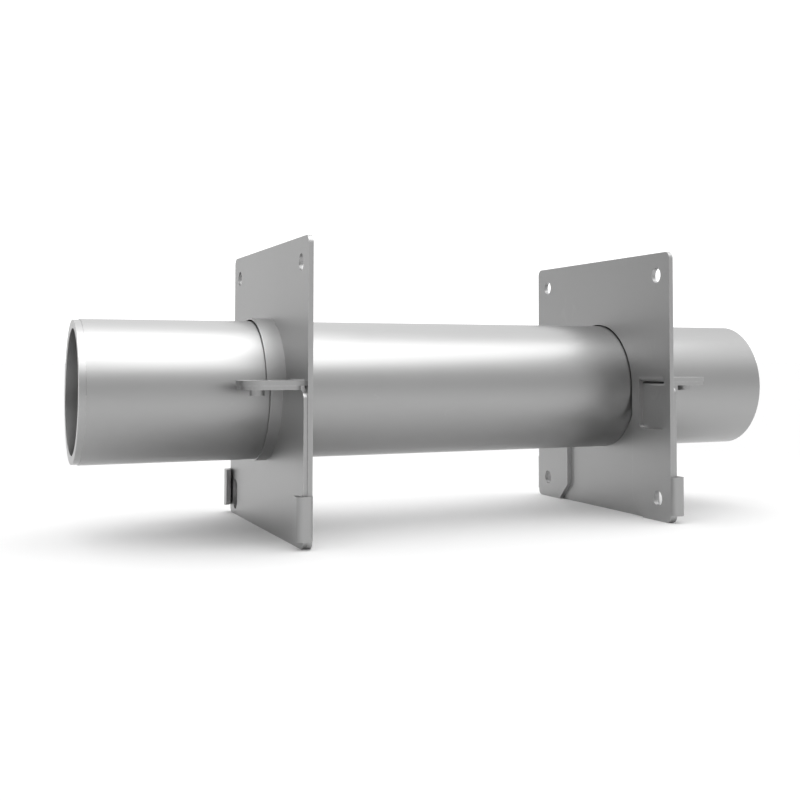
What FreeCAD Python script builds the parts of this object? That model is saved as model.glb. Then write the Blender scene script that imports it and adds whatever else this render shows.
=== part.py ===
import FreeCAD, Part
import math
import os
import re

import Sketcher

# Firestop sleeve: a round steel tube that carries cables through a wall, open from end to end,
# with a square escutcheon on each side of the wall. Each escutcheon is two folded sheets: a main
# plate with a slot that drops over the tube, and a cover plate that closes the slot from below.
# The cover slides up behind two hooks, and its ears are screwed to the ears of the main plate, so
# that the half collars of the two sheets grip the tube.
#
# Millimetres. +X runs along the tube, +Z is up and z = 0 is the bottom edge of the plates.
# The origin is on that level under the middle of the tube.

SIZES = {
    # Tube
    "tube_radius": (27.9, "outside radius of the tube"),
    "tube_wall": (1.65, "wall of the tube"),
    "tube_length": (302.9, "cut length of the tube"),
    "tube_edge": (0.3, "chamfer of the tube's cut edge"),
    "axis_height": (56.3, "height of the tube's axis above the plates' bottom edge"),

    # Throat bushing in the left end
    "bushing_flange": (2.5, "length of the bushing's flange"),
    "bushing_step": (0.3, "depth of the flange below the tube's surface"),
    "spigot_wall": (1.95, "wall of the spigot"),
    "throat_lip": (0.2, "chamfer of the throat's lip"),
    "spigot_length": (12, "length of the spigot in the tube"),

    # Where the plates stand
    "wall_space": (155.7, "distance between the plates, the wall's thickness"),
    "plates_middle": (3.05, "middle of the wall space, measured from the tube's middle"),

    # Sheets
    "plate_side": (114.3, "side of a square plate"),
    "plate_corner": (3.0, "rounding of a plate's corners"),
    "sheet": (1.9, "sheet of the main plate"),
    "cover_sheet": (1.5, "sheet of the cover plate"),
    "bend_inside": (0.5, "inside radius of the main plate's ear folds"),

    # Wall screw holes
    "hole_edge": (9.525, "distance of the wall screw holes from the plate's edges"),
    "hole_radius": (3.2, "radius of a wall screw hole"),
    "slot_half_width": (3.65, "half width of the cover plate's slots"),
    "slot_top": (15.3, "top of the cover plate's slots"),
    "slot_foot": (2.3, "foot of the cover plate's slots"),

    # Slot for the tube and the half collars
    "tube_gap": (0.65, "gap between the upper half collar and the tube"),
    "mouth_half_width": (36.5, "half width of the slot's flared mouth at the bottom edge"),
    "mouth_rise": (7.8, "height of the flare"),
    "collar_wall": (0.6, "drawn wall of the half collars"),
    "collar_reach": (7.6, "length of the upper half collar beyond its sheet"),
    "cover_collar_reach": (4.7, "length of the lower half collar beyond its sheet"),
    "cover_lift": (0.8, "height of the lower half collar's own centre above the tube's axis"),
    "cover_setback": (0.35, "amount by which the cover plate's side edges stand back"),
    "collar_split": (2.0, "angle in degrees left open at each end of the upper half collar"),

    # Ears and the windows they are lanced from
    "ear_width": (18.6, "width of an ear and of its window"),
    "ear_centre": (43.4, "distance from the tube's axis to the middle of an ear"),
    "ear_rise": (2.8, "height of the joint between the two ears above the axis"),
    "ear_reach": (24.4, "tip of the main plate's ear, from the wall-side face"),
    "ear_setback": (0.5, "amount by which the cover plate's ear is shorter"),
    "ear_corner": (7.0, "rounding of the ear's two corners"),
    "ear_flare": (4.4, "radius of the main ear's flared root"),
    "cover_ear_flare": (1.9, "radius of the cover ear's flared root"),
    "window_foot": (38.7, "height of the window's foot"),
    "window_corner": (2.0, "rounding of the window's lower corners"),
    "cover_bend_inside": (0.5, "inside radius of the fold of the cover plate's ear"),

    # Hooks
    "hook_top": (19.3, "height of a hook's top"),
    "hook_foot": (3.2, "height of a hook's foot"),
    "hook_channel": (2.3, "space between the main plate and the hook's lip"),
    "hook_side_play": (0.25, "play beside the plate's edge in a hook, and the hook's inside radius"),
    "hook_cover": (4.25, "distance that the hook's lip reaches in from the plate's edge"),
    "hook_corner": (3.0, "rounding of the hook's free corner"),

    # Ear screws and the bosses they turn in
    "screw_reach": (17.15, "distance of an ear screw from the wall-side face"),
    "screw_radius": (2.0, "radius of the screw's thread"),
    "head_radius": (3.7, "radius of the flush head"),
    "screw_tip": (0.4, "chamfer at the screw's end"),
    "recess_arm": (1.9, "length of an arm of the cross recess"),
    "recess_width": (0.85, "width of the cross recess"),
    "recess_depth": (1.2, "depth of the cross recess"),
    "boss_radius": (2.75, "outside radius of the tapped boss"),
    "boss_height": (2.2, "height of the boss below the cover plate's ear"),
}

os.makedirs("parts", exist_ok=True)
doc = FreeCAD.newDocument("firestop_sleeve")
sheet = doc.addObject("Spreadsheet::Sheet", "Sizes")
for row, (alias, (number, note)) in enumerate(SIZES.items(), start=1):
    sheet.set("A%d" % row, alias)
    sheet.set("B%d" % row, str(number))
    sheet.set("C%d" % row, note)
    sheet.setAlias("B%d" % row, alias)
doc.recompute()


def from_sheet(text):
    """The expression with each size read from the sheet."""
    return re.sub(r"[a-z_]+", lambda w: "Sizes." + w.group() if w.group() in SIZES else w.group(), text)


def value(text):
    """The number that an expression of sizes gives now."""
    return float(sheet.evalExpression(from_sheet(text)))


def bind(thing, path, text):
    """Let one property of an object follow an expression of sizes."""
    thing.setExpression(path, from_sheet(text))


def new_body(label, offset="0", turned=False):
    body = doc.addObject("PartDesign::Body", label)
    body.Label = label
    body.Placement = FreeCAD.Placement(
        FreeCAD.Vector(value(offset), 0, 0),
        FreeCAD.Rotation(FreeCAD.Vector(0, 0, 1), 180 if turned else 0))
    bind(body, "Placement.Base.x", offset)
    return body


def new_sketch(body, name, plane, across="0", up="0", out="0"):
    """A sketch on one of the body's own planes, its origin moved in the plane and out of it."""
    drawn = body.newObject("Sketcher::SketchObject", name)
    origin_plane = [item for item in body.Origin.OriginFeatures if item.Role == plane][0]
    drawn.AttachmentSupport = [(origin_plane, "")]
    drawn.MapMode = "FlatFace"
    for axis, text in zip("xyz", (across, up, out)):
        bind(drawn, "AttachmentOffset.Base." + axis, text)
    return drawn


def hold(drawn, kind, ends, text):
    """Add a dimension that follows an expression of sizes."""
    number = drawn.addConstraint(Sketcher.Constraint(kind, *ends, value(text)))
    if any(word in SIZES for word in re.findall(r"[a-z_]+", text)):
        bind(drawn, "Constraints[%d]" % number, text)


def hold_point(drawn, geometry, vertex, across, up):
    hold(drawn, "DistanceX", (-1, 1, geometry, vertex), across)
    hold(drawn, "DistanceY", (-1, 1, geometry, vertex), up)


def outline(drawn, corners):
    """Draw a closed outline through corners (across, up), joined by straight edges.

    A corner with a third entry is reached by an arc of that radius, which turns left, or right
    where the radius has a minus sign.
    """
    points = [FreeCAD.Vector(value(corner[0]), value(corner[1]), 0) for corner in corners]
    ends = []
    for number, corner in enumerate(corners):
        start = points[number - 1]
        end = points[number]
        if len(corner) == 2:
            edge = drawn.addGeometry(Part.LineSegment(start, end))
            ends.append((edge, 1, 2))
            continue
        radius = value(corner[2])
        chord = end - start
        left = FreeCAD.Vector(-chord.y, chord.x, 0).normalize()
        rise = math.sqrt(max(radius ** 2 - (chord.Length / 2) ** 2, 0))
        centre = (start + end) * 0.5 + left * math.copysign(rise, radius)
        circle = Part.Circle(centre, FreeCAD.Vector(0, 0, 1), abs(radius))
        first, last = (start, end) if radius > 0 else (end, start)
        edge = drawn.addGeometry(Part.ArcOfCircle(
            circle,
            math.atan2(first.y - centre.y, first.x - centre.x),
            math.atan2(last.y - centre.y, last.x - centre.x)))
        ends.append((edge, 1, 2) if radius > 0 else (edge, 2, 1))
        hold(drawn, "Radius", (edge,), corner[2].lstrip("-"))
    for number, corner in enumerate(corners):
        edge, start_vertex, end_vertex = ends[number]
        before, _, before_end = ends[number - 1]
        drawn.addConstraint(Sketcher.Constraint("Coincident", before, before_end, edge, start_vertex))
        hold_point(drawn, edge, end_vertex, corner[0], corner[1])


def ring(drawn, across, up, radius):
    """Draw a circle."""
    centre = FreeCAD.Vector(value(across), value(up), 0)
    circle = drawn.addGeometry(Part.Circle(centre, FreeCAD.Vector(0, 0, 1), value(radius)))
    hold_point(drawn, circle, 3, across, up)
    hold(drawn, "Radius", (circle,), radius)


def pad(body, drawn, length, both_ways=False):
    feature = body.newObject("PartDesign::Pad", drawn.Name.replace("Sketch", "Pad"))
    feature.Profile = drawn
    feature.SideType = "Symmetric" if both_ways else "One side"
    bind(feature, "Length", length)
    doc.recompute()
    return feature


def cut_through(body, drawn):
    """Cut a sketch through everything, both ways."""
    feature = body.newObject("PartDesign::Pocket", drawn.Name.replace("Sketch", "Pocket"))
    feature.Profile = drawn
    feature.SideType = "Symmetric"
    feature.Type = "ThroughAll"
    doc.recompute()
    return feature


def cut_down(body, drawn, depth):
    """Cut a sketch down to a depth, towards the back of its plane."""
    feature = body.newObject("PartDesign::Pocket", drawn.Name.replace("Sketch", "Pocket"))
    feature.Profile = drawn
    bind(feature, "Length", depth)
    doc.recompute()
    return feature


def turn(body, drawn, axis, angle="360", groove=False):
    """Turn a sketch round one of its own axes, evenly to both sides of its plane."""
    kind = "PartDesign::Groove" if groove else "PartDesign::Revolution"
    feature = body.newObject(kind, drawn.Name.replace("Sketch", "Turned"))
    feature.Profile = drawn
    feature.ReferenceAxis = (drawn, [axis])
    bind(feature, "Angle", angle)
    feature.Midplane = True
    doc.recompute()
    return feature


def mirror(body, name, features):
    """Repeat features on the other side of the tube."""
    side_plane = [item for item in body.Origin.OriginFeatures if item.Role == "XZ_Plane"][0]
    feature = body.newObject("PartDesign::Mirrored", name)
    feature.Originals = features
    feature.MirrorPlane = (side_plane, [""])
    body.Tip = feature
    doc.recompute()
    return feature


def round_edges(body, name, radius, chosen):
    """Round the edges of the body that a test picks."""
    base = body.Tip
    names = ["Edge%d" % number for number, edge in enumerate(base.Shape.Edges, start=1) if chosen(edge)]
    if not names:
        raise RuntimeError("no edges for " + name)
    feature = body.newObject("PartDesign::Fillet", name)
    feature.Base = (base, names)
    bind(feature, "Radius", radius)
    doc.recompute()
    return feature


def runs_along(edge, axis, *places):
    """Whether a straight edge runs along an axis through a place given by its other two axes."""
    if not isinstance(edge.Curve, Part.Line):
        return False
    others = [letter for letter in "xyz" if letter != axis]
    for vertex in edge.Vertexes:
        for letter, place in zip(others, places):
            if abs(getattr(vertex.Point, letter) - place) > 0.01:
                return False
    return True


# Sleeve tube: a length of round conduit, cut square, its edges broken. The bushing takes up the
# rest of the sleeve's length at the left.

tube = new_body("sleeve_tube")
tube_sketch = new_sketch(tube, "TubeSketch", "XZ_Plane", up="axis_height")
TUBE_LEFT = "-tube_length / 2 + bushing_flange / 2"
TUBE_RIGHT = "tube_length / 2 + bushing_flange / 2"
outline(tube_sketch, [
    (TUBE_LEFT, "tube_radius - tube_wall"),
    (TUBE_RIGHT, "tube_radius - tube_wall"),
    (TUBE_RIGHT, "tube_radius - tube_edge"),
    (TUBE_RIGHT + " - tube_edge", "tube_radius"),
    (TUBE_LEFT, "tube_radius"),
])
turn(tube, tube_sketch, "H_Axis")

# Throat bushing: a smooth flange against the tube's cut end and a spigot pressed into the tube,
# the edge of its throat broken to spare the cables.

BORE = "(tube_radius - tube_wall)"
THROAT = "(tube_radius - tube_wall - spigot_wall)"
FLANGE = "(tube_radius - bushing_step)"

bushing = new_body("throat_bushing")
bushing_sketch = new_sketch(bushing, "BushingSketch", "XZ_Plane", across=TUBE_LEFT, up="axis_height")
outline(bushing_sketch, [
    ("spigot_length", THROAT),
    ("spigot_length", BORE),
    ("0", BORE),
    ("0", FLANGE),
    ("-bushing_flange", FLANGE),
    ("-bushing_flange", THROAT + " + throat_lip"),
    ("-bushing_flange + throat_lip", THROAT),
])
turn(bushing, bushing_sketch, "H_Axis")


def rounded_square(half, corner):
    """Corners of a plate's outline, anticlockwise from the bottom edge."""
    top = half + " * 2"
    return [
        (half + " - " + corner, "0"),
        (half, corner, corner),
        (half, top + " - " + corner),
        (half + " - " + corner, top, corner),
        ("-" + half + " + " + corner, top),
        ("-" + half, top + " - " + corner, corner),
        ("-" + half, corner),
        ("-" + half + " + " + corner, "0", corner),
    ]


# Main plate: seen from the wall the slot is open at the bottom with a flared mouth, so the plate
# drops over a tube that is already in the wall. Half a collar is drawn round the top of the slot.
# Two ears are lanced out of the sheet, each leaving a window, and folded level. Low on each side
# edge a hook is folded out and in again to hold the cover plate.

HALF = "plate_side / 2"
HOLE_OUT = "(plate_side / 2 - hole_edge)"
SLOT = "(tube_radius + tube_gap)"
FOLD = "(bend_inside + sheet)"
EAR_UNDER = "axis_height + ear_rise"
COVER_TOP = "(axis_height + cover_lift)"
COVER_BORE = "(tube_radius + cover_lift)"
COVER_SIDE = "(plate_side / 2 - cover_setback)"


def ear_tip(reach):
    """Corners of an ear's end in plan: two rounded corners and a short straight edge."""
    return [
        (reach + " - ear_corner", "-ear_width / 2"),
        (reach, "-ear_width / 2 + ear_corner", "ear_corner"),
        (reach, "ear_width / 2 - ear_corner"),
        (reach + " - ear_corner", "ear_width / 2", "ear_corner"),
    ]


def main_plate(label, offset, turned):
    body = new_body(label, offset, turned)

    blank = new_sketch(body, "BlankSketch", "YZ_Plane")
    outline(blank, [
        ("mouth_half_width", "0"),
        *rounded_square(HALF, "plate_corner"),
        ("-mouth_half_width", "0"),
        ("-" + SLOT, "mouth_rise"),
        ("-" + SLOT, "axis_height"),
        ("0", "axis_height + " + SLOT, "-" + SLOT),
        (SLOT, "axis_height", "-" + SLOT),
        (SLOT, "mouth_rise"),
    ])
    pad(body, blank, "sheet")

    holes = new_sketch(body, "WallHolesSketch", "YZ_Plane", up=HALF)
    for side in ("-", ""):
        for level in ("-", ""):
            ring(holes, side + HOLE_OUT, level + HOLE_OUT, "hole_radius")
    cut_through(body, holes)

    # The window reaches up to where the fold of its ear leaves the sheet.
    window = new_sketch(body, "WindowsSketch", "YZ_Plane")
    for side in ("-", ""):
        middle = side + "ear_centre"
        outline(window, [
            (middle + " + ear_width / 2 - window_corner", "window_foot"),
            (middle + " + ear_width / 2", "window_foot + window_corner", "window_corner"),
            (middle + " + ear_width / 2", EAR_UNDER + " + " + FOLD),
            (middle + " - ear_width / 2", EAR_UNDER + " + " + FOLD),
            (middle + " - ear_width / 2", "window_foot + window_corner"),
            (middle + " - ear_width / 2 + window_corner", "window_foot", "window_corner"),
        ])
    cut_through(body, window)

    # Half collar, drawn out of the sheet.
    collar = new_sketch(body, "CollarSketch", "XZ_Plane", up="axis_height")
    outside = SLOT + " + collar_wall"
    outline(collar, [
        ("sheet / 2", outside),
        ("sheet / 2", SLOT),
        ("sheet + collar_reach", SLOT),
        ("sheet + collar_reach", outside),
    ])
    turn(body, collar, "H_Axis", "180 - 2 * collar_split")

    # Ear: a quarter fold out of the sheet, then a flat tongue with a flared root and a round tip.
    fold = new_sketch(body, "FoldSketch", "XZ_Plane", out="-ear_centre")
    outline(fold, [
        ("0", EAR_UNDER + " + " + FOLD),
        (FOLD, EAR_UNDER, FOLD),
        (FOLD, EAR_UNDER + " + sheet"),
        ("sheet", EAR_UNDER + " + sheet + bend_inside", "-bend_inside"),
    ])
    fold_pad = pad(body, fold, "ear_width", both_ways=True)

    tongue = new_sketch(body, "TongueSketch", "XY_Plane", up="ear_centre", out=EAR_UNDER)
    outline(tongue, [
        ("sheet + bend_inside", "-ear_width / 2"),
        ("sheet", "-ear_width / 2"),
        ("sheet", "-ear_width / 2 - ear_flare"),
        ("sheet + ear_flare", "-ear_width / 2", "-ear_flare"),
        *ear_tip("ear_reach"),
        ("sheet + ear_flare", "ear_width / 2"),
        ("sheet", "ear_width / 2 + ear_flare", "-ear_flare"),
        ("sheet", "ear_width / 2"),
        ("sheet + bend_inside", "ear_width / 2"),
    ])
    tongue_pad = pad(body, tongue, "sheet")

    # Countersink for the flush screw, as deep as the sheet.
    sink = new_sketch(body, "SinkSketch", "XZ_Plane", "screw_reach", EAR_UNDER, "-ear_centre")
    outline(sink, [("0", "0"), ("screw_radius", "0"), ("head_radius", "sheet"), ("0", "sheet")])
    sink_cut = turn(body, sink, "V_Axis", groove=True)

    # Hook: out from the plate's edge round one fold, and in again round another.
    hook = new_sketch(body, "HookSketch", "XY_Plane", out="hook_foot")
    inner_face = "(plate_side / 2 + hook_side_play)"
    outer_face = "(plate_side / 2 + hook_side_play + sheet)"
    lip = "(sheet + hook_channel)"
    outline(hook, [
        ("0", "plate_side / 2 - bend_inside"),
        ("sheet", "plate_side / 2 - bend_inside"),
        ("sheet", "plate_side / 2"),
        ("sheet + hook_side_play", inner_face, "-hook_side_play"),
        (lip + " - hook_side_play", inner_face),
        (lip, "plate_side / 2", "-hook_side_play"),
        (lip, "plate_side / 2 - hook_cover"),
        (lip + " + sheet", "plate_side / 2 - hook_cover"),
        (lip + " + sheet", "plate_side / 2"),
        (lip + " - hook_side_play", outer_face, "hook_side_play + sheet"),
        ("sheet + hook_side_play", outer_face),
        ("0", "plate_side / 2", "hook_side_play + sheet"),
    ])
    hook_pad = pad(body, hook, "hook_top - hook_foot")

    mirror(body, "OtherSide", [fold_pad, tongue_pad, sink_cut, hook_pad])
    free_edge = value("plate_side / 2 - hook_cover")
    round_edges(body, "HookCorners", "hook_corner", lambda edge: runs_along(edge, "x", free_edge, value("hook_foot"))
                or runs_along(edge, "x", -free_edge, value("hook_foot")))
    return body


# Cover plate: the lower half of the escutcheon, flat against the main plate's face. Its half
# collar carries the tube. Its ears leave the top edge and lie under those of the main plate, and
# each has a boss drawn downward and tapped for the ear screw. The two slots let it slide up past
# the heads of the lower wall screws.

def cover_plate(label, offset, turned):
    body = new_body(label, offset, turned)

    blank = new_sketch(body, "CoverBlankSketch", "YZ_Plane", out="sheet")
    outline(blank, [
        (COVER_SIDE + " - plate_corner", "0"),
        (COVER_SIDE, "plate_corner", "plate_corner"),
        (COVER_SIDE, COVER_TOP + " - plate_corner"),
        (COVER_SIDE + " - plate_corner", COVER_TOP, "plate_corner"),
        (COVER_BORE, COVER_TOP),
        ("0", "axis_height - tube_radius", "-" + COVER_BORE),
        ("-" + COVER_BORE, COVER_TOP, "-" + COVER_BORE),
        ("-" + COVER_SIDE + " + plate_corner", COVER_TOP),
        ("-" + COVER_SIDE, COVER_TOP + " - plate_corner", "plate_corner"),
        ("-" + COVER_SIDE, "plate_corner"),
        ("-" + COVER_SIDE + " + plate_corner", "0", "plate_corner"),
    ])
    pad(body, blank, "cover_sheet")

    slots = new_sketch(body, "SlotsSketch", "YZ_Plane")
    for side in ("-", ""):
        middle = side + HOLE_OUT
        foot = "slot_foot + slot_half_width"
        top = "slot_top - slot_half_width"
        outline(slots, [
            (middle + " + slot_half_width", top),
            (middle, "slot_top", "slot_half_width"),
            (middle + " - slot_half_width", top, "slot_half_width"),
            (middle + " - slot_half_width", foot),
            (middle, "slot_foot", "slot_half_width"),
            (middle + " + slot_half_width", foot, "slot_half_width"),
        ])
    cut_through(body, slots)

    collar = new_sketch(body, "CoverCollarSketch", "XZ_Plane", across="sheet", up=COVER_TOP)
    outline(collar, [
        ("cover_sheet / 2", "-" + COVER_BORE),
        ("cover_sheet / 2", "-" + COVER_BORE + " - collar_wall"),
        ("cover_sheet + cover_collar_reach", "-" + COVER_BORE + " - collar_wall"),
        ("cover_sheet + cover_collar_reach", "-" + COVER_BORE),
    ])
    turn(body, collar, "H_Axis", "180")

    fold = new_sketch(body, "CoverFoldSketch", "XZ_Plane", across="sheet", out="-ear_centre")
    bend_outside = "(cover_bend_inside + cover_sheet)"
    under = EAR_UNDER + " - cover_sheet"
    outline(fold, [
        ("0", COVER_TOP + " - plate_corner"),
        ("cover_sheet", COVER_TOP + " - plate_corner"),
        ("cover_sheet", under + " - cover_bend_inside"),
        (bend_outside, under, "-cover_bend_inside"),
        (bend_outside, EAR_UNDER),
        ("0", EAR_UNDER + " - " + bend_outside, bend_outside),
    ])
    fold_pad = pad(body, fold, "ear_width + 2 * cover_ear_flare", both_ways=True)

    tongue = new_sketch(body, "CoverTongueSketch", "XY_Plane", up="ear_centre", out=under)
    folded = "sheet + " + bend_outside
    outline(tongue, [
        (folded, "-ear_width / 2 - cover_ear_flare"),
        (folded + " + cover_ear_flare", "-ear_width / 2", "-cover_ear_flare"),
        *ear_tip("ear_reach - ear_setback"),
        (folded + " + cover_ear_flare", "ear_width / 2"),
        (folded, "ear_width / 2 + cover_ear_flare", "-cover_ear_flare"),
    ])
    tongue_pad = pad(body, tongue, "cover_sheet")

    boss = new_sketch(body, "BossSketch", "XY_Plane", out=under + " - boss_height")
    ring(boss, "screw_reach", "ear_centre", "boss_radius")
    boss_pad = pad(body, boss, "boss_height")

    mirror(body, "OtherSide", [fold_pad, tongue_pad, boss_pad])

    tapped = new_sketch(body, "TappedSketch", "XY_Plane", out=EAR_UNDER)
    for side in ("-", ""):
        ring(tapped, "screw_reach", side + "ear_centre", "screw_radius")
    body.Tip = cut_down(body, tapped, "cover_sheet + boss_height")
    return body


# Ear screws: a pair with flush heads, turned down through the main plate's ears into the bosses.

def ear_screws(label, offset, turned):
    body = new_body(label, offset, turned)
    body.AllowCompound = True
    top = EAR_UNDER + " + sheet"
    shank = new_sketch(body, "ScrewSketch", "XZ_Plane", "screw_reach", EAR_UNDER, "-ear_centre")
    end = "-cover_sheet - boss_height"
    outline(shank, [
        ("0", "sheet"),
        ("0", end),
        ("screw_radius - screw_tip", end),
        ("screw_radius", end + " + screw_tip"),
        ("screw_radius", "0"),
        ("head_radius", "sheet"),
    ])
    turned_screw = turn(body, shank, "V_Axis")

    recess = new_sketch(body, "RecessSketch", "XY_Plane", "screw_reach", "ear_centre", top)
    arm = "recess_arm"
    half = "recess_width / 2"
    outline(recess, [
        (half, "-" + half), (arm, "-" + half), (arm, half), (half, half), (half, arm), ("-" + half, arm),
        ("-" + half, half), ("-" + arm, half), ("-" + arm, "-" + half), ("-" + half, "-" + half),
        ("-" + half, "-" + arm), (half, "-" + arm),
    ])
    recess_cut = cut_down(body, recess, "recess_depth")
    mirror(body, "OtherSide", [turned_screw, recess_cut])
    return body


# The same two sheets and screws stand on each side of the wall, the left ones turned half round.

pieces = [tube, bushing]
for side, offset, turned in (("left", "plates_middle - wall_space / 2", True),
                             ("right", "plates_middle + wall_space / 2", False)):
    pieces.append(main_plate(side + "_main_plate", offset, turned))
    pieces.append(cover_plate(side + "_cover_plate", offset, turned))
    pieces.append(ear_screws(side + "_ear_screws", offset, turned))

doc.recompute()
for item in doc.Objects:
    if "Invalid" in item.State or "Error" in item.State:
        raise RuntimeError("%s: %s" % (item.Label, item.State))
for piece in pieces:
    if piece.Shape.isNull() or not piece.Shape.isValid():
        raise RuntimeError("bad shape: " + piece.Label)
    print("%-20s %9.1f mm3 in %d solids" % (piece.Label, piece.Shape.Volume, len(piece.Shape.Solids)))
for piece in pieces:
    piece.Shape.exportStep("parts/%s.step" % piece.Label)
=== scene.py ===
from math import pi, radians

import bpy
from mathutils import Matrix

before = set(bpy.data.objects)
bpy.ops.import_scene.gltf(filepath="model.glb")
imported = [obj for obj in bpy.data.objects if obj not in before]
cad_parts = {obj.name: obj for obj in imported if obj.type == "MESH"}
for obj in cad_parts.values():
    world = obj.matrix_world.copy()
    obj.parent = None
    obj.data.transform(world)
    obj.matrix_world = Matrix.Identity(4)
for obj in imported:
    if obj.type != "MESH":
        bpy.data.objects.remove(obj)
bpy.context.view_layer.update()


# ---- Sleeve tube
# One length of round steel tube, drawn to size, cut square and open from end to end. The half
# collars of the plates close on it; the left end takes the throat bushing, the right is plain.

class Flow:
    """One socket of a finish, so that sums on it read as plain arithmetic."""

    def __init__(self, tree, socket=None):
        self.tree = tree
        self.socket = socket

    def node(self, kind, settings=None, feeds=None, out=0):
        """Adds a node: its settings first, then the values or flows of its sockets."""
        made = self.tree.nodes.new("ShaderNode" + kind)
        for name, setting in (settings or {}).items():
            if name == "stops":
                ramp = made.color_ramp.elements
                while len(ramp) < len(setting):
                    ramp.new(0.5)
                for stop, (spot, shade) in zip(ramp, setting):
                    stop.position = spot
                    stop.color = shade
            else:
                setattr(made, name, setting)
        for name, fed in (feeds or {}).items():
            if isinstance(fed, Flow):
                self.tree.links.new(fed.socket, made.inputs[name])
            else:
                made.inputs[name].default_value = fed
        return Flow(self.tree, made.outputs[out])

    def sum(self, operation, *values):
        return self.node("Math", {"operation": operation}, dict(enumerate(values)))

    def __add__(self, other):
        return self.sum("ADD", self, other)

    def __sub__(self, other):
        return self.sum("SUBTRACT", self, other)

    def __rsub__(self, other):
        return self.sum("SUBTRACT", other, self)

    def __mul__(self, other):
        return self.sum("MULTIPLY", self, other)

    def __abs__(self):
        return self.sum("ABSOLUTE", self)

    __rmul__ = __mul__

    def along(self, axis):
        return self.node("SeparateXYZ", {}, {0: self}, axis)

    def step(self, start, end, low=0.0, high=1.0):
        """A soft change from low to high as the flow goes from start to end."""
        return self.node("MapRange", {"interpolation_type": "SMOOTHSTEP"}, {
            "Value": self, "From Min": start, "From Max": end, "To Min": low, "To Max": high})

    def blend(self, under, over):
        """One colour where the flow is 0 and another where it is 1."""
        return self.node("Mix", {"data_type": "RGBA"}, {0: self, 6: under, 7: over}, 2)

    def grain(self, stretch, size, detail=2.0):
        """Noise of a size in metres, pulled out along an axis; 0 to 1."""
        spot = self.node("Mapping", {}, {"Vector": self, "Scale": stretch})
        return self.node("TexNoise", {}, {"Vector": spot, "Scale": 1.0 / size,
                                          "Detail": detail, "Roughness": 0.55})


def start_finish(name):
    """An empty material, with the piece's own coordinates in metres as its first flow."""
    material = bpy.data.materials.new(name)
    material.use_nodes = True
    material.node_tree.nodes.clear()
    return material, Flow(material.node_tree).node("TexCoord", {}, {}, "Object")


def close_finish(place, colour, roughness, normal, metallic=1.0):
    surface = place.node("BsdfPrincipled", {}, {
        "Base Color": colour, "Roughness": roughness, "Normal": normal, "Metallic": metallic})
    end = place.tree.nodes.new("ShaderNodeOutputMaterial")
    place.tree.links.new(surface.socket, end.inputs["Surface"])


def grey(level):
    return (level, level, level, 1.0)


def scratches(place, pull, size, share):
    """Thin scratches in patches that cover a share of the surface."""
    ridge = abs(place.grain(pull, size, 1.0) - 0.5)
    patches = place.grain((1, 1, 1), 0.022).step(1.0 - share, 1.06 - share)
    return ridge.step(0.010, 0.0) * patches


def worn_edges(place, reach):
    """How near a point is to an outer or inner edge, broken up as handling does it."""
    round_way = place.node("Bevel", {"samples": 4}, {"Radius": reach})
    flat_way = place.node("NewGeometry", {}, {}, "Normal")
    match = place.node("VectorMath", {"operation": "DOT_PRODUCT"}, {0: round_way, 1: flat_way}, 1)
    return match.step(0.995, 0.80) * place.grain((1, 1, 1), 0.0022, 3.0).step(0.30, 0.62)


def metal(place, lines, shade, rough, wear, scuff, line_height, more_rough=0.0, fresh_and_painted_light=None):
    """Bare metal: lines from its making, faint clouds, scratches and polished edges, and where
    given a much brighter grey that is partly fresh metal and partly painted light.
    """
    cloud = place.grain((1, 1, 1), 0.035)
    colour = (lines * 0.35 + cloud * 0.65).blend(grey(shade * 0.95), grey(shade * 1.05))
    colour = (wear * 0.50 + scuff * 0.12).blend(colour, grey(shade * 1.45))
    # Partly fresh metal, partly painted light: these places are lifted to a much brighter grey
    # than their shade would give.
    if fresh_and_painted_light:
        colour = fresh_and_painted_light.blend(colour, grey(shade * 1.8))
    roughness = (lines - 0.5) * 0.06 + (cloud - 0.5) * 0.05 + scuff * 0.03 - wear * 0.08
    normal = place.node("Bump", {}, {
        "Height": lines - scuff * 0.8, "Strength": 0.4, "Distance": line_height})
    close_finish(place, colour, roughness + more_rough + rough, normal)


def from_middle(across, up):
    """Distance from an axis, out of the distances in two directions."""
    squares = across * across + up * up
    return squares.sum("SQRT", squares)


def dress(node, material):
    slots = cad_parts[node].data.materials
    slots.clear()
    slots.append(material)


axis_height = 0.0563
tube_end = 0.1527

tube_satin, place = start_finish("tube satin")
drawn_lines = place.grain((0.02, 1, 1), 0.00025, 3.0)
out_from_axis = from_middle(place.along("Y"), place.along("Z") - axis_height)
in_bore = out_from_axis.step(0.0272, 0.0268)
on_cut = place.along("X").step(tube_end - 0.00015, tube_end - 0.00004)
saw_marks = place.grain((1, 0.06, 1), 0.0004)
metal(place, drawn_lines + on_cut * (saw_marks - 0.5), 0.36, 0.36, worn_edges(place, 0.0005),
      scratches(place, (0.12, 1, 1), 0.0045, 0.42), 0.000005, in_bore * 0.06 + on_cut * 0.10)
dress("sleeve_tube", tube_satin)


# ---- Throat bushing
# A turned steel ring with a short spigot, pressed into the tube's left end so that cables drawn
# through the sleeve don't run over the cut edge.

bushing_turned, place = start_finish("bushing turned")
out_from_axis = from_middle(place.along("Y"), place.along("Z") - axis_height)
lathe = place.node("CombineXYZ", {}, {0: place.along("X"), 1: out_from_axis})
metal(place, lathe.grain((1, 1, 1), 0.00016, 1.0), 0.37, 0.33, worn_edges(place, 0.0006),
      scratches(place, (1, 0.2, 0.2), 0.003, 0.30), 0.000004)
dress("throat_bushing", bushing_turned)


# ---- Main plates
# Folded from 1.9 mm sheet steel. Each has two ears lanced out of its windows, a hook folded at
# each side and half a collar drawn round the tube; four screws hold it to the wall.

plate_side = 0.1143
main_sheet = 0.0019
hook_top = 0.0193
left_wall_face, right_wall_face = -0.0748, 0.0809


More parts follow.
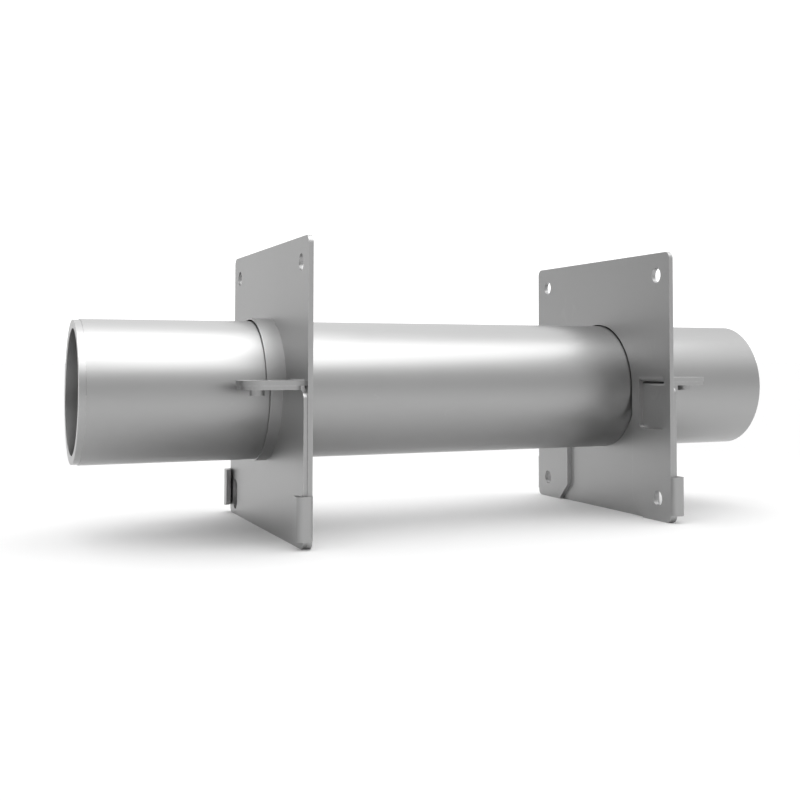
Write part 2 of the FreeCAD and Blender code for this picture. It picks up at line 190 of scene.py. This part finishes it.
def rolled_sheet(name, face, out):
    """Sheet whose rolling lines stand upright; its sheared edges show a smooth and a torn band."""
    sheet, place = start_finish(name)
    depth = (place.along("X") - face) * out
    beside = abs(place.along("Y"))
    height = place.along("Z")

    # Above the hooks, the shears tore the outer part of the sheet's thickness.
    side_edge = beside.step(plate_side / 2 - 0.00013, plate_side / 2 - 0.00007)
    side_edge = side_edge * height.step(hook_top, hook_top + 0.0001)
    top_edge = height.step(plate_side - 0.00012, plate_side - 0.00004)
    torn = (side_edge + top_edge) * depth.step(0.0006, 0.0009)

    # The walls of the slot that drops over the tube show fresh metal, brightened further as
    # painted light on walls that lie in shade.
    facing = abs(place.node("NewGeometry", {}, {}, "Normal").along("X"))
    slot_wall = facing.step(0.5, 0.2) * depth.step(main_sheet + 0.0001, main_sheet)
    slot_wall = slot_wall * beside.step(0.0275, 0.0280) * beside.step(0.0372, 0.0368)
    slot_wall = slot_wall * height.step(0.037, 0.035)

    rolled = place.grain((1, 1, 0.02), 0.00028, 3.0)
    shear = place.grain((0.2, 1, 1), 0.00016)
    metal(place, rolled + torn * (shear - 0.5), 0.37, 0.40, worn_edges(place, 0.0006),
          scratches(place, (1, 0.25, 0.12), 0.0042, 0.42), 0.000005, torn * 0.07, slot_wall)
    return sheet


dress("left_main_plate", rolled_sheet("left plate rolled", left_wall_face, -1))
dress("right_main_plate", rolled_sheet("right plate rolled", right_wall_face, 1))


# ---- Cover plates
# The lower halves, of 1.5 mm sheet. Each slides up behind the hooks of its main plate, carries
# the lower half collar, and has a tapped boss drawn down from each of its two ears.

left_cover_face = left_wall_face - main_sheet
right_cover_face = right_wall_face + main_sheet
dress("left_cover_plate", rolled_sheet("left cover rolled", left_cover_face, -1))
dress("right_cover_plate", rolled_sheet("right cover rolled", right_cover_face, 1))


# ---- Ear screws
# Flush cross-recessed machine screws of bright plated steel, two to a side. They pull the ears of
# the two sheets together and so close the collars on the tube.

ear_centre = 0.0434
screw_reach = 0.01715


def plated_screw(name, screw_x):
    """Fine turning rings round each screw's axis, and a duller cross recess."""
    screw, place = start_finish(name)
    out_from_screw = from_middle(place.along("X") - screw_x, abs(place.along("Y")) - ear_centre)
    rings = place.node("CombineXYZ", {}, {0: out_from_screw, 1: place.along("Z")})
    in_recess = place.along("Z").step(0.0608, 0.0605) * out_from_screw.step(0.0021, 0.0019)
    metal(place, rings.grain((1, 1, 1), 0.00014, 1.0), 0.40, 0.28, worn_edges(place, 0.0003),
          scratches(place, (1, 1, 1), 0.002, 0.25), 0.000003, in_recess * 0.15)
    return screw


dress("left_ear_screws", plated_screw("left screws plated", left_wall_face - screw_reach))
dress("right_ear_screws", plated_screw("right screws plated", right_wall_face + screw_reach))


# ---- Table, light and view
# A pale table that runs out to white, three softboxes over the object and the camera where the
# photographer stood.

half_table = 20
table_top = bpy.data.meshes.new("table")
table_top.from_pydata([(-half_table, -half_table, 0), (half_table, -half_table, 0),
                       (half_table, half_table, 0), (-half_table, half_table, 0)],
                      [], [(0, 1, 2, 3)])
table = bpy.data.objects.new("table", table_top)
bpy.context.scene.collection.objects.link(table)

# The table is whitest under the object and greyer farther out, a painted pool of light, and greyer
# close beside the foot of the left plate, a painted shadow.
paper, place = start_finish("table white")
speck = place.grain((1, 1, 1), 0.004)
# Painted pool of light: the table turns greyer beyond 0.14 m from the object.
near = place.node("VectorMath", {"operation": "LENGTH"}, {0: place}, 1).step(0.42, 0.14)
# Painted shadow: the table is greyer beside the outer side of the left plate's foot.
painted_foot_shadow = place.along("X").step(-0.137, -0.078) * place.along("X").step(-0.074, -0.077)
painted_foot_shadow = painted_foot_shadow * abs(place.along("Y")).step(0.050, 0.025)
white = near.blend(grey(0.80), speck.blend(grey(0.955), grey(0.975)))
white = painted_foot_shadow.blend(white, grey(0.80))
close_finish(place, white, 0.9, place.node("Bump", {}, {
    "Height": speck, "Strength": 0.05, "Distance": 0.0002}), 0.0)
table.data.materials.append(paper)

# The room round the table is white, brighter overhead than at the walls, with a dim stretch of
# wall low down on the left that gives the folds and the ends of the ears their dark side.
world = bpy.data.worlds.new("studio")
world.use_nodes = True
bpy.context.scene.world = world
world.node_tree.nodes.clear()
room = Flow(world.node_tree)
way = room.node("TexCoord", {}, {}, "Generated")
turn = way.sum("ARCTAN2", way.along("X"), way.along("Y")) * (0.5 / pi) + 0.5
shades = [(0.0, 0.66), (0.042, 0.58), (0.125, 0.38), (0.208, 0.22), (0.30, 0.05), (0.36, 0.12),
          (0.411, 0.80), (0.458, 1.0), (0.56, 1.0), (0.65, 0.70), (1.0, 0.68)]
stops = [(spot, grey(level)) for spot, level in shades]
wall = turn.node("ValToRGB", {"stops": stops}, {0: turn})
low = abs(way.along("Z")).step(0.85, 0.40)
overhead = way.along("Z").step(0.30, 0.65, 1.12, 1.56)
seen = room.node("LightPath", {}, {}, "Is Camera Ray")
glow = overhead * (1 - (1 - wall) * low) * (1 - seen) + 1.3 * seen
lamp = room.node("Background", {}, {"Color": (1, 1, 1, 1), "Strength": glow})
room.tree.links.new(lamp.socket, room.tree.nodes.new("ShaderNodeOutputWorld").inputs["Surface"])

# The softboxes shine on the object alone, and leave the table to the even light of the room.
shone_on = bpy.data.collections.new("pieces under the softboxes")
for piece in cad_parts.values():
    shone_on.objects.link(piece)


def softbox(name, across, up, spot, tilt, power):
    light = bpy.data.lights.new(name, "AREA")
    light.shape = "RECTANGLE"
    light.size, light.size_y = across, up
    light.energy = power
    hung = bpy.data.objects.new(name, light)
    hung.location = spot
    hung.rotation_euler = (radians(tilt), 0, 0)
    hung.visible_camera = False
    hung.light_linking.receiver_collection = shone_on
    bpy.context.scene.collection.objects.link(hung)


softbox("front softbox", 0.42, 1.75, (0.06, -0.803, 0.728), -28, 4.15)
softbox("top softbox", 0.30, 1.1, (0.0, -0.30, 1.05), -16, 2.15)
softbox("back softbox", 0.375, 1.0, (-0.1125, 0.28, 1.02), 15, 0.75)

bpy.context.scene.view_settings.view_transform = "Standard"

camera = bpy.data.objects.new("camera", bpy.data.cameras.new("camera"))
camera.location = (-0.19539, -0.44694, 0.06864)
camera.rotation_euler = (radians(92.33), 0, radians(-24.32))
camera.data.sensor_width = 36
camera.data.lens = 50.15
camera.data.shift_x = -0.066
camera.data.shift_y = -0.1073
camera.data.clip_start = 0.01
bpy.context.scene.collection.objects.link(camera)
bpy.context.scene.camera = camera
